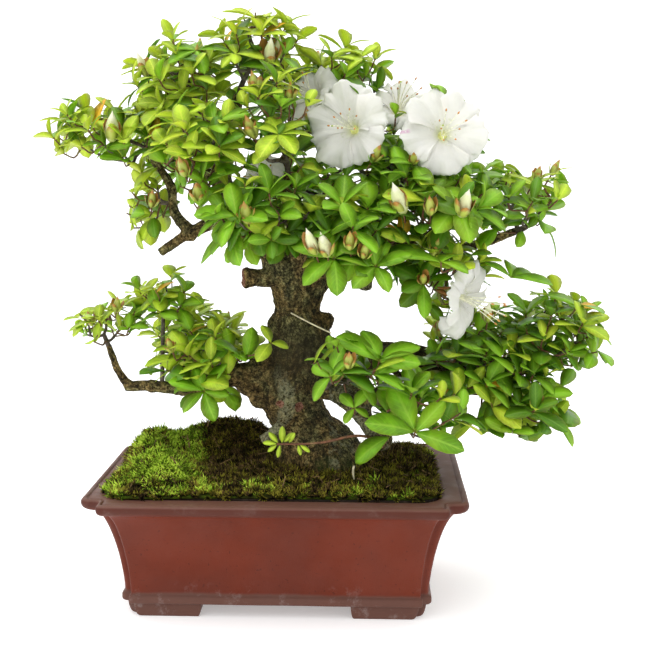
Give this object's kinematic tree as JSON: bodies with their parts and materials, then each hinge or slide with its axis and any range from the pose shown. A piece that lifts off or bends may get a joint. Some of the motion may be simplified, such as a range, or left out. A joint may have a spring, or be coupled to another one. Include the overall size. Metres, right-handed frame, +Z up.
{
  "type": "satsuki azalea bonsai",
  "caption": "Satsuki azalea bonsai: thick bent trunk, bough crown, small green leaves and white flowers, on moss in a rectangular unglazed clay pot with feet",
  "frame": {"origin": "centre of the bottom of the bounding box, on the plane the pot's feet stand on", "axes": "+Z up; the pot and the crown are longest along X, and the side that is seen in the picture faces -Y"},
  "size_m": [0.4138, 0.2156, 0.4306],
  "materials": {
    "clay": "matte",
    "earth": "matte",
    "moss_green": "matte",
    "bark": "matte",
    "leaf": "satin"
  },
  "bodies": {
    "root": {"bough_back_left": "bark", "bough_back_right": "bark", "bough_front": "bark", "bough_leader": "bark", "bough_leader_right": "bark", "bough_left_riser": "bark", "bough_left_upper": "bark", "bough_right_outer": "bark", "bough_right_riser": "bark", "bough_right_upper": "bark", "branch_back_low": "bark", "branch_left_low": "bark", "branch_left_low_riser": "bark", "branch_right_front": "bark", "branch_right_low": "bark", "foliage_apex": "leaf", "foliage_crown_back_left": "leaf", "foliage_crown_back_low": "leaf", "foliage_crown_back_right": "leaf", "foliage_crown_back_top": "leaf", "foliage_crown_front_left": "leaf", "foliage_crown_front_low": "leaf", "foliage_crown_front_mid": "leaf", "foliage_crown_left": "leaf", "foliage_crown_left_top": "leaf", "foliage_crown_mid_right": "leaf", "foliage_crown_right_front": "leaf", "foliage_crown_right_low": "leaf", "foliage_crown_right_tip": "leaf", "foliage_crown_top_right": "leaf", "foliage_flowers_left": "leaf", "foliage_flowers_right": "leaf", "foliage_left_under": "leaf", "foliage_low_left_back": "leaf", "foliage_low_left_inner": "leaf", "foliage_low_left_outer": "leaf", "foliage_low_left_top": "leaf", "foliage_low_right_back": "leaf", "foliage_low_right_big": "leaf", "foliage_low_right_front": "leaf", "foliage_low_right_low": "leaf", "foliage_low_right_mid": "leaf", "foliage_low_right_outer": "leaf", "moss": "moss_green", "pot": "clay", "soil": "earth", "trunk": "bark"}
  },
  "joints": []
}
